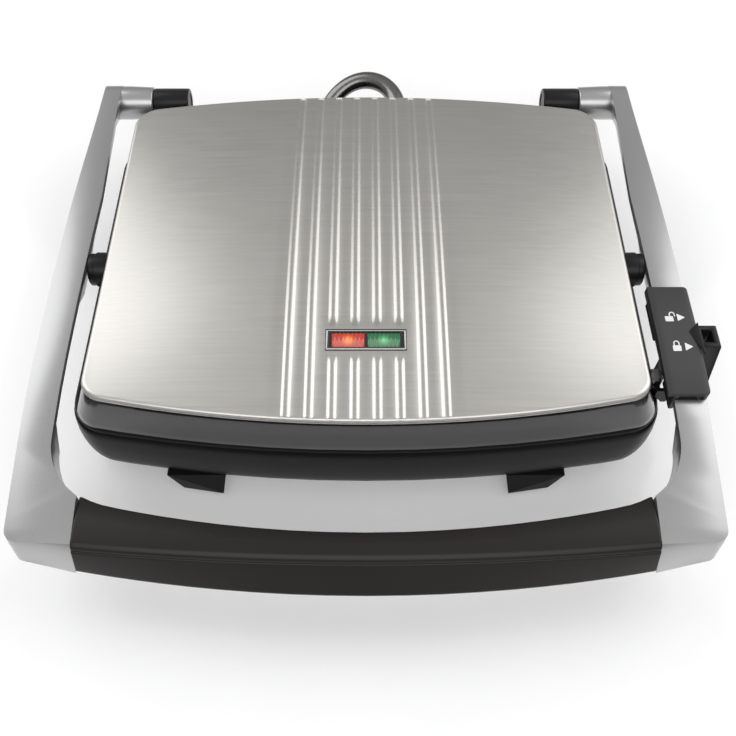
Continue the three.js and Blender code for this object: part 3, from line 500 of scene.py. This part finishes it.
def arm(side, sleeved):
    """Plan first, then the crown of the top row by row, the rim and the sloping underside."""
    rear = HINGE["y"] + ARM["heel_radius"]
    turn = [math.radians(ARM["fillet_turn"] * i / 12) for i in range(13)]
    fillet = [(ARM["inside"] + ARM["fillet"] * (math.cos(a) - 1), ARM["fillet_start"] - ARM["fillet"] * math.sin(a))
              for a in turn]
    plan = [(ARM["grip"], ARM["ridge"]), (ARM["outside"], ARM["ridge"] + 1.4), (ARM["outside"], rear),
            (ARM["heel"], rear), (ARM["heel"], 158), (ARM["inside"], 60), *fillet, (ARM["grip"], -138)]
    start(bpy.ops.mesh.primitive_circle_add, vertices=len(plan), radius=1, fill_type="NGON")
    shape = bmesh.from_edit_mesh(bpy.context.object.data)
    ring = sorted([v.co.copy() for v in shape.verts], key=lambda at: math.atan2(at.y, at.x))
    for here, (x, y) in zip(ring, plan):
        move(lambda at: (at - here).length < 0.01, (x - here.x, y - here.y, 0))
    select("VERT", lambda at, along: abs(at.x - ARM["outside"]) < 0.1 and at.y < 0)
    bpy.ops.mesh.bevel(affect="VERTICES", offset=6, segments=6)
    heel = [HINGE["y"] + ARM["heel_radius"] * math.sin(math.radians(a)) for a in range(-75, 90, 15)]
    slice_at("y", *[y for y, _ in ARM_TOP[1:]], *heel, *[y for y, _ in ARM_UNDER],
             SLEEVE["front"] - 0.5, SLEEVE["front"] - 0.1, SLEEVE["rear"] + 0.1, SLEEVE["rear"] + 0.5)
    bpy.ops.mesh.select_all(action="SELECT")
    bpy.ops.mesh.extrude_region_move(TRANSFORM_OT_translate={"value": (0, 0, -10)})
    bpy.ops.mesh.extrude_region_move(TRANSFORM_OT_translate={"value": (0, 0, -10)})
    for edge, inward in ((lambda at: at.x > 178, -ARM["undercut"]), (lambda at: at.x < 173, ARM["undercut"])):
        move(lambda at: edge(at) and at.z < -15 and at.y > -105, (inward, 0, 0))
    for row in rows():
        top, under = arm_height(row), arm_under(row)
        flatten(lambda at: abs(at.y - row) < 0.006 and at.z > -5, top)
        flatten(lambda at: abs(at.y - row) < 0.006 and -15 < at.z < -5, max(top - ARM["rim"], under + 0.3))
        flatten(lambda at: abs(at.y - row) < 0.006 and at.z < -15, under)
    # Below its ridge the front face leans forward, most at the foot and beside the grip.
    for low, high, swell, toe in ((-80, 40, 1.58, 4.5), (45, 54, 1.2, 1.2)):
        select("VERT", lambda at, along: at.y < -155 and low < at.z < high)
        bpy.ops.transform.resize(value=(1, swell, 1), center_override=(0, -155, 0))
        move(lambda at: at.y < -155 and low < at.z < high and at.x < 150, (0, -toe, 0))
    if sleeved:
        def covered(at):
            return SLEEVE["front"] - 0.2 < at.y < SLEEVE["rear"] + 0.2

        flatten(lambda at: covered(at) and at.z > 65, 65.6)
        for wall, x in ((lambda at: at.x < 168, 168), (lambda at: at.x > 179.4, 179.4)):
            select("VERT", lambda at, along: covered(at) and wall(at))
            bpy.ops.transform.resize(value=(0, 1, 1), center_override=(x, 0, 0))
    face_out()
    soften(0.9, segments=3, angle=38)
    if side < 0:
        mirror_piece()


for hand, side in (("right", 1), ("left", -1)):
    arm(side, sleeved=side > 0)
    piece = settle(hand + "_handle_arm", silver_paint, smooth=32)
    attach(piece, "handle_frame")
    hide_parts(hand + "_arm")

# ---------------------------------------------------------------- hinge bosses and barrels
# A silver boss on each arm turns on a steel pin beside a black barrel, which the base carries on a post.
textured_black = moulded("textured_black", (0.008, 0.008, 0.009), (0.014, 0.014, 0.016), 0.32, 700, 0.000012,
                         Specular_IOR_Level=0.25)
BOSS = {"radius": 11.4, "inner": 149.3, "outer": 176}
BARREL = {"radius": 9.9, "inner": 124.5, "outer": 149}


def turned(radius, x0, x1, y, z, lip=0.9):
    """A round part on the hinge line, its two ends eased and dished."""
    start(bpy.ops.mesh.primitive_cylinder_add, vertices=64, radius=radius, depth=x1 - x0,
          location=((x0 + x1) / 2, y, z), rotation=(0, math.radians(90), 0))
    select("FACE", lambda at, along: abs(along.x) > 0.9)
    bpy.ops.mesh.inset(thickness=radius * 0.32, use_individual=True)
    bpy.ops.mesh.inset(thickness=0.4, depth=-0.5, use_individual=True)
    soften(lip, segments=3, angle=60)


for hand, side in (("right", 1), ("left", -1)):
    turned(BOSS["radius"], BOSS["inner"], BOSS["outer"], HINGE["y"], HINGE["z"])
    slice_at("x", BOSS["outer"] - 10)
    select("VERT", lambda at, along: at.x < BOSS["outer"] - 11)
    bpy.ops.transform.resize(value=(1, 0.94, 0.94), center_override=(0, HINGE["y"], HINGE["z"]))
    if side < 0:
        mirror_piece()
    boss = settle(hand + "_hinge_boss", silver_paint)
    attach(boss, "handle_frame")

    turned(BARREL["radius"], BARREL["inner"], BARREL["outer"], HINGE["y"], HINGE["z"])
    if side < 0:
        mirror_piece()
    barrel = settle(hand + "_hinge_barrel", textured_black)
    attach(barrel, "base")

    block((127.5, 146), (124, 163), (20, 50))
    move(lambda at: at.y > 150 and at.z > 30, (0, 9, 0))
    select("FACE", lambda at, along: along.z > 0.9)
    bpy.ops.transform.translate(value=(0, 2, 0))
    select("EDGE", lambda at, along: at.y > 150 and at.z < 30 and abs(along.x) > 0.9)
    bpy.ops.mesh.bevel(offset=9, segments=6)
    select("EDGE", lambda at, along: at.y < 140 and at.z > 30 and abs(along.x) > 0.9)
    bpy.ops.mesh.bevel(offset=14, segments=6)
    soften(1.2)
    if side < 0:
        mirror_piece()
    post = settle(hand + "_hinge_web", textured_black)
    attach(post, "base")
    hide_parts(hand + "_hinge_post")

# ---------------------------------------------------------------- side pivots
# The lid hangs between the arms on two black bosses, each a stepped barrel moulded on the lid's side.
for hand, side in (("right", 1), ("left", -1)):
    turned(10.3, 152, 164.7, PIVOT["y"], PIVOT["z"])
    slice_at("x", 160.6, 161.2)
    select("VERT", lambda at, along: at.x > 161)
    bpy.ops.transform.resize(value=(1, 0.93, 0.93), center_override=(0, PIVOT["y"], PIVOT["z"]))
    if side < 0:
        mirror_piece()
    pivot = settle(hand + "_side_boss", textured_black)
    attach(pivot, "lid")
    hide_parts(hand + "_pivot_boss")

# ---------------------------------------------------------------- grip
# Two soft-touch mouldings screwed together round a steel bar, bowed towards the hand, with a
# crowned top, a ridge and a sloping front, and a fine seam along the back.
grip_skin = moulded("grip_skin", (0.012, 0.010, 0.0095), (0.020, 0.017, 0.016), 0.34, 1100, 0.000014,
                    Specular_IOR_Level=0.3)
GRIP = {"end": 148, "front": -184, "back": -155, "top": 57, "bottom": 35.5, "seam": 54.4}


def grip_shell(low, high):
    """One shell: a bar with a ridge and a crowned top, bowed station by station."""
    block((-GRIP["end"], GRIP["end"]), (GRIP["front"], GRIP["back"]), (GRIP["bottom"], GRIP["top"]))
    slice_at("z", 38, 41.5, 53)
    slice_at("y", -170.5, -163)
    move(lambda at: at.y < -180 and at.z > 56, (0, 12.7, -0.4))
    move(lambda at: at.y < -180 and 52 < at.z < 54, (0, 10.5, 0))
    move(lambda at: -172 < at.y < -170 and at.z > 56.8, (0, 1.6, 1.0))
    move(lambda at: -164 < at.y < -162 and at.z > 56, (0, 0, 1.7))
    move(lambda at: at.y > -156 and at.z > 56, (0, -1.4, -0.4))
    move(lambda at: at.y < -180 and at.z < 36, (0, 6, 0))
    move(lambda at: at.y < -180 and 37 < at.z < 39, (0, 1, 0))
    move(lambda at: at.y > -156 and at.z < 36, (0, -7, 0))
    stations = [GRIP["end"] * math.sin(math.pi / 2 * (i / 12 - 1)) for i in range(25)]
    slice_at("x", *stations[1:-1])
    for x in stations:
        reach = (x / GRIP["end"]) ** 2
        flare = 2.2 * max(0, 5 * reach - 4) ** 2
        for part, bow in (  # rear to front, so that no row is met twice
                (lambda at: at.y > -160, 17.6 * reach + flare),
                (lambda at: -172.5 < at.y < -161.5 and at.z < 50, 15 * reach),
                (lambda at: -165 < at.y < -161 and at.z > 50, 12.3 * reach),
                (lambda at: -175 < at.y < -168 and at.z > 50, 6.9 * reach),
                (lambda at: at.y < -177, 13 * reach)):
            move(lambda at: abs(at.x - x) < 0.1 and part(at), (0, bow, 0))
    for height, keep_above in ((low, True), (high, False)):
        if height is not None:
            bpy.ops.mesh.select_all(action="SELECT")
            bpy.ops.mesh.bisect(plane_co=(0, 0, height), plane_no=(0, 0, 1), use_fill=True,
                                clear_inner=keep_above, clear_outer=not keep_above)
    face_out()
    soften(0.8, segments=3, angle=20)


grip_shell(GRIP["seam"] + 0.15, None)
grip_top = settle("grip_upper_half", grip_skin, smooth=40)
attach(grip_top, "handle_frame")
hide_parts("grip_upper_shell")
grip_shell(None, GRIP["seam"] - 0.15)
grip_under = settle("grip_lower_half", grip_skin, smooth=40)
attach(grip_under, "handle_frame")
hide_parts("grip_lower_shell")

# ---------------------------------------------------------------- lock sleeve and its printed marks
# A charcoal sleeve hugs the right arm. Its roof carries two printed pairs of marks: an open and a
# closed padlock, each beside an arrowhead that points at the slider.
sleeve_skin = moulded("sleeve_skin", (0.030, 0.028, 0.029), (0.042, 0.039, 0.040), 0.42, 1300, 0.000016)
HOOK_WINDOW = (-69, -41)
ROOF_BREAK = -52  # the roof is level behind this row and falls ahead of it
block((SLEEVE["inside"], SLEEVE["outside"]), (SLEEVE["front"], SLEEVE["rear"]), (SLEEVE["roof"], SLEEVE["top"]))
slice_at("y", ROOF_BREAK, *HOOK_WINDOW)
for row, fall in ((SLEEVE["front"], 3), (HOOK_WINDOW[0], 1.5)):
    move(lambda at: abs(at.y - row) < 0.1 and at.z > 76, (0, 0, -fall))
slice_at("x", 164.6, 167.4, 180)
select("FACE", lambda at, along: along.z < -0.9 and (at.x > 180 or (
    164.6 < at.x < 167.4 and not HOOK_WINDOW[0] < at.y < HOOK_WINDOW[1])))
bpy.ops.mesh.extrude_region_move(TRANSFORM_OT_translate={"value": (0, 0, SLEEVE["skirt"] - SLEEVE["roof"])})
select("EDGE", lambda at, along: abs(along.z) > 0.9 and at.x > 183 and at.z > 60)
bpy.ops.mesh.bevel(offset=2.4, segments=5)
soften(0.8)
sleeve = settle("lock_cover", sleeve_skin)
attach(sleeve, "handle_frame")
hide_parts("lock_sleeve")

print_ink = moulded("print_ink", (0.80, 0.80, 0.80), (0.92, 0.92, 0.92), 0.5, 1500, 0.000003)
INK = 0.12


def print_mark(name, x, y):
    """Thickens the flat mark and lays it on the roof, level at the rear and sloping at the front."""
    bpy.ops.mesh.select_all(action="SELECT")
    bpy.ops.mesh.extrude_region_move(TRANSFORM_OT_translate={"value": (0, 0, INK)})
    bpy.ops.mesh.select_all(action="SELECT")
    bpy.ops.transform.translate(value=(x, y, SLEEVE["top"] - 0.02))
    if y < ROOF_BREAK:
        bpy.ops.transform.rotate(value=-math.atan(3 / (ROOF_BREAK - SLEEVE["front"])), orient_axis="X",
                                 center_override=(0, ROOF_BREAK, SLEEVE["top"]))
    face_out()
    mark = settle(name, print_ink)
    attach(mark, "handle_frame")


for state, x, y, swing in (("open", 169.2, -38.5, 1.9), ("closed", 170, -58, 0)):
    sheet((-2.3, 2.3), (-1.75, 1.75), 0)
    bpy.ops.mesh.select_all(action="SELECT")
    bpy.ops.mesh.bevel(affect="VERTICES", offset=0.5, segments=3)
    print_mark("mark_padlock_" + state, x, y)
    start(bpy.ops.mesh.primitive_circle_add, vertices=20, radius=1.7, fill_type="NGON")
    bpy.ops.mesh.select_all(action="SELECT")
    bpy.ops.mesh.inset(thickness=0.65)
    bpy.ops.mesh.delete(type="FACE")
    bpy.ops.mesh.select_all(action="SELECT")
    bpy.ops.mesh.bisect(plane_co=(0, 0, 0), plane_no=(0, 1, 0), clear_inner=True)
    select("EDGE", lambda at, along: at.y < 0.01)
    bpy.ops.mesh.extrude_edges_move(TRANSFORM_OT_translate={"value": (0, -1.4, 0)})
    print_mark("mark_shackle_" + state, x + swing, y + 3.1)
    start(bpy.ops.mesh.primitive_circle_add, vertices=3, radius=2.9, fill_type="NGON",
          rotation=(0, 0, math.radians(-90)))
    bpy.ops.mesh.select_all(action="SELECT")
    bpy.ops.mesh.bevel(affect="VERTICES", offset=0.35, segments=2)
    print_mark("mark_arrow_" + state, x + 6, y + 1)

# ---------------------------------------------------------------- lock slider
# The slider's button stands out beyond the sleeve: a square eye through its top, and a front that
# runs down to a toe. A plate on it laps the sleeve's edge.
EYE = {"x": (187, 192.8), "y": (-51.8, -43.7)}  # the sides of the hole
block((183.8, 196), (-55, -40.5), (58.5, 74.5))
select("FACE", lambda at, along: along.y < -0.9)
bpy.ops.mesh.extrude_region_move(TRANSFORM_OT_translate={"value": (0, -17, 0)})
move(lambda at: at.y < -60 and at.z > 60, (0, 0, -13.5))
move(lambda at: at.y < -60 and at.x > 190, (-7.5, 0, 0))
select("FACE", lambda at, along: abs(along.z) > 0.99 and at.y > -56)
bpy.ops.mesh.inset(thickness=3.2, use_individual=True)
for face_side in (1, -1):
    select("FACE", lambda at, along: along.z * face_side > 0.99 and -52 < at.y < -44 and abs(at.x - 189.9) < 0.4)
    bpy.ops.mesh.delete(type="FACE")
select("EDGE", lambda at, along: EYE["x"][0] - 0.1 < at.x < EYE["x"][1] + 0.1
       and EYE["y"][0] - 0.1 < at.y < EYE["y"][1] + 0.1 and (at.z > 74.4 or at.z < 58.6)
       and min([abs(at.x - x) for x in EYE["x"]] + [abs(at.y - y) for y in EYE["y"]]) < 0.05)
bpy.ops.mesh.bridge_edge_loops()
face_out()
soften(1.0, segments=3, angle=28)
button = settle("lock_slider_button", textured_black)
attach(button, "lock_slider")
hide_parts("lock_button")

block((178.6, 184.4), (-63, -41), (77.4, 78.3))
move(lambda at: at.x < 180 and at.y < -50, (4.6, 3, 0))
move(lambda at: at.x < 180 and at.y > -50, (0, -6, 0))
soften(0.35)
lap = settle("lock_slider_lap", textured_black)
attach(lap, "lock_slider")

# ---------------------------------------------------------------- lamp window
# A black moulded frame with a bright plated edge holds two ribbed lenses, amber red for power and
# green for ready, each lit from behind by a small neon lamp.
LENS = {"x": 9.6, "y": (WINDOW["front"] + WINDOW["rear"]) / 2, "width": 17.6, "depth": 9.2, "top": 86.8}
BEZEL = {"x": 21.4, "front": -65.5, "rear": -52.9, "low": 82, "high": 87.3}


def walls(x, y, z, cuts_x, cuts_y, hole):
    """A flat plate cut on a grid, the cells that pass hole removed, then thickened."""
    sheet(x, y, z[0])
    slice_at("x", *cuts_x)
    slice_at("y", *cuts_y)
    select("FACE", lambda at, along: hole(at))
    bpy.ops.mesh.delete(type="FACE")
    bpy.ops.mesh.select_all(action="SELECT")
    bpy.ops.mesh.extrude_region_move(TRANSFORM_OT_translate={"value": (0, 0, z[1] - z[0])})
    face_out()


lens_x = (LENS["x"] - LENS["width"] / 2 - 0.2, LENS["x"] + LENS["width"] / 2 + 0.2)
lens_y = (LENS["y"] - LENS["depth"] / 2 - 0.2, LENS["y"] + LENS["depth"] / 2 + 0.2)
walls((-BEZEL["x"] + 0.9, BEZEL["x"] - 0.9), (BEZEL["front"] + 0.9, BEZEL["rear"] - 0.9),
      (BEZEL["low"], BEZEL["high"] - 0.15), (-lens_x[1], -lens_x[0], lens_x[0], lens_x[1]), lens_y,
      lambda at: lens_x[0] < abs(at.x) < lens_x[1] and lens_y[0] < at.y < lens_y[1])
soften(0.2, segments=2)
bezel = settle("lamp_bezel", gloss_black)
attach(bezel, "lid")
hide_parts("indicator_bezel")

plated = brushed("plated_edge", (0.62, 0.62, 0.63), (0.8, 0.8, 0.81), 0.14, (1, 1, 1), 0.000003)
walls((-BEZEL["x"], BEZEL["x"]), (BEZEL["front"], BEZEL["rear"]), (BEZEL["low"], BEZEL["high"]),
      (-BEZEL["x"] + 0.8, BEZEL["x"] - 0.8), (BEZEL["front"] + 0.8, BEZEL["rear"] - 0.8),
      lambda at: abs(at.x) < BEZEL["x"] - 0.8 and BEZEL["front"] + 0.8 < at.y < BEZEL["rear"] - 0.8)
soften(0.25, segments=3)
bezel_edge = settle("lamp_bezel_edge", plated)
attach(bezel_edge, "lid")


def lit_lens(name, side, dark, light, glow, strength):
    """Clear coloured plastic that glows brightest above its lamp."""
    finish = Finish(name, Coat_Weight=0.8, Coat_Roughness=0.05, Emission_Strength=strength)
    here = finish.place()
    lamp_at = ORIGIN + Vector((side * LENS["x"], LENS["y"], LENS["top"])) * MM
    away = finish.node("ShaderNodeVectorMath", {"operation": "DISTANCE"}, {0: here, 1: lamp_at}, out="Value")
    close = finish.node("ShaderNodeClamp", {}, {"Value": 1 - away * 210})
    cloud = finish.noise(900, detail=2)
    return finish.wire(
        Base_Color=finish.between(cloud, dark, light),
        Emission_Color=finish.between(close * close, tuple(c * 0.25 for c in dark), glow),
        Roughness=cloud * 0.1 + 0.12,
        Normal=finish.bump(cloud, 0.000012))


for name, side, old, slot_name, material in (
        ("power_lens_cap", -1, "power_lens", "red_lens",
         lit_lens("red_lens", -1, (0.34, 0.02, 0.01), (0.55, 0.06, 0.02), (1, 0.30, 0.05), 1.3)),
        ("ready_lens_cap", 1, "ready_lens", "green_lens",
         lit_lens("green_lens", 1, (0.01, 0.09, 0.03), (0.02, 0.22, 0.07), (0.25, 0.95, 0.4), 0.6))):
    x0, x1 = side * LENS["x"] - LENS["width"] / 2, side * LENS["x"] + LENS["width"] / 2
    block((x0, x1), (lens_y[0] + 0.2, lens_y[1] - 0.2), (82, LENS["top"]))
    ribs = [x0 + LENS["width"] * i / 16 for i in range(1, 16)]
    slice_at("x", *ribs)
    for rib in ribs[::2]:
        move(lambda at: abs(at.x - rib) < 0.05 and at.z > 86, (0, 0, -0.45))
    face_out()
    soften(0.12, segments=2, angle=20)
    lens = settle(name, material)
    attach(lens, "lid")
    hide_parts(old)

# ---------------------------------------------------------------- wiring conduit
# A plated flexible conduit carries the leads from the base up to the lid in one open loop behind
# the hinges. It is built in two halves, one from each gland up to the crown, and neither half is carried by the base
# or the lid.
CONDUIT = {"x": -5, "y": 153.8, "z": 49, "bend": 27, "climb": 12, "arch": 14.5, "radius": 5.9, "tail": 7, "rings": 14}
conduit_metal = brushed("conduit_metal", (0.10, 0.095, 0.09), (0.30, 0.29, 0.28), 0.2, (1, 1, 1), 0.000004)


def conduit_height(turn):
    """Height of the loop's middle line, turn degrees round from the base's gland."""
    angle = math.radians(turn)
    return CONDUIT["climb"] * (turn / 90 - 1) + CONDUIT["arch"] * abs(math.sin(angle)) ** 1.1


def conduit_half(name, side):
    """Half of the loop: a straight tail at its gland (side -1 base, 1 lid), then a quarter turn to the crown."""
    loop_x = CONDUIT["x"] + side * CONDUIT["bend"]
    start(bpy.ops.mesh.primitive_circle_add, vertices=32, radius=CONDUIT["radius"],
          location=(loop_x, CONDUIT["y"] - CONDUIT["tail"], CONDUIT["z"]), rotation=(math.radians(90), 0, 0))
    bpy.ops.mesh.select_all(action="SELECT")
    bpy.ops.mesh.extrude_edges_move(TRANSFORM_OT_translate={"value": (0, CONDUIT["tail"], 0)})
    bpy.ops.mesh.spin(steps=CONDUIT["rings"], angle=-side * math.pi / 2, axis=(0, 0, 1),
                      center=(CONDUIT["x"], CONDUIT["y"], CONDUIT["z"]))
    face_out()
    for i in range(CONDUIT["rings"] + 1):
        turn = 90 * i / CONDUIT["rings"]
        rise = conduit_height(turn if side < 0 else 180 - turn)

        def on_ring(at):
            across, along = side * (at.x - CONDUIT["x"]), at.y - CONDUIT["y"]
            if i == 0:
                return along < 0.01
            return along > 0.01 and abs(math.degrees(math.atan2(along, across)) - turn) < 1

        move(on_ring, (0, 0, rise))
    bpy.ops.mesh.select_all(action="SELECT")
    bpy.ops.mesh.fill_holes(sides=0)
    face_out()
    half = settle(name, conduit_metal, smooth=50)
    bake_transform(half)
    return half


lower_half = conduit_half("conduit_lower_half", -1)
conduit_half("conduit_upper_half", 1)
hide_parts("wiring_conduit")

# ---------------------------------------------------------------- grill plates
# Two die-cast aluminium plates with a sprayed non-stick coat, speckled and slightly uneven.
def dress(material, *names):
    """Gives the frame's nodes of these names the material."""
    for name in names:
        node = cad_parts[name]
        node.data.materials.clear()
        node.data.materials.append(material)


speckled = moulded("non_stick_coat", (0.012, 0.012, 0.013), (0.028, 0.027, 0.027), 0.38, 1600, 0.00003)
dress(speckled, "lower_grill_plate", "upper_grill_plate")

# ---------------------------------------------------------------- heaters and reflectors
# Sheathed heating elements, dulled by heat, over reflector trays of thin aluminised sheet.
dress(brushed("heater_sheath", (0.16, 0.13, 0.10), (0.27, 0.23, 0.19), 0.5, (1, 1, 1), 0.00001),
      "lower_heating_element", "upper_heating_element")
dress(brushed("aluminised_sheet", (0.52, 0.52, 0.51), (0.70, 0.70, 0.69), 0.36, (0.2, 1, 1), 0.00001),
      "lower_heat_reflector", "upper_heat_reflector")

# ---------------------------------------------------------------- steelwork
# Turned steel pins, the pressed latch hook, plated cover screws and the bar inside the grip.
dress(brushed("turned_steel", (0.36, 0.36, 0.36), (0.56, 0.56, 0.56), 0.28, (0.2, 1, 1), 0.000006),
      "left_hinge_pin", "right_hinge_pin", "left_pivot_pin", "right_pivot_pin", "grip_core_bar", "lock_hook",
      *[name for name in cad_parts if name.endswith("_cover_screw")])

# ---------------------------------------------------------------- thermostats, fuse, terminals and lamps
# Steatite bodies, off-white and matt, and two small glass neon lamps behind the lenses.
dress(moulded("steatite", (0.60, 0.57, 0.50), (0.74, 0.71, 0.64), 0.6, 900, 0.00002),
      "lower_thermostat", "upper_thermostat", "lower_thermal_fuse", "terminal_block")
dress(moulded("lamp_glass", (0.75, 0.42, 0.30), (0.85, 0.55, 0.42), 0.1, 500, 0.000002, Coat_Weight=0.8),
      "power_lamp", "ready_lamp")

# ---------------------------------------------------------------- black fittings of the base
# Bottom cover, feet, catch, cord inlet and glands are moulded in the base's plastic, more coarsely
# textured than the housings; the soles of the feet are soft rubber.
feet = [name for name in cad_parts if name.endswith("_foot")]
dress(textured_black, "base_bottom_cover", "latch_catch", "cord_inlet", "base_conduit_gland", "lid_conduit_gland",
      *feet)
dress(moulded("foot_rubber", (0.020, 0.019, 0.019), (0.034, 0.033, 0.032), 0.75, 1100, 0.00004),
      *[name + "_pad" for name in feet])

# ---------------------------------------------------------------- worktop finish
# Glossy white laminate, faintly uneven.
glossy_white = moulded("glossy_white", (0.82, 0.82, 0.83), (0.87, 0.87, 0.88), 0.2, 300, 0.000002,
                       Coat_Weight=0.4, Coat_Roughness=0.05, Emission_Strength=0.22, Emission_Color=(1, 1, 1, 1))
worktop.data.materials.append(glossy_white)
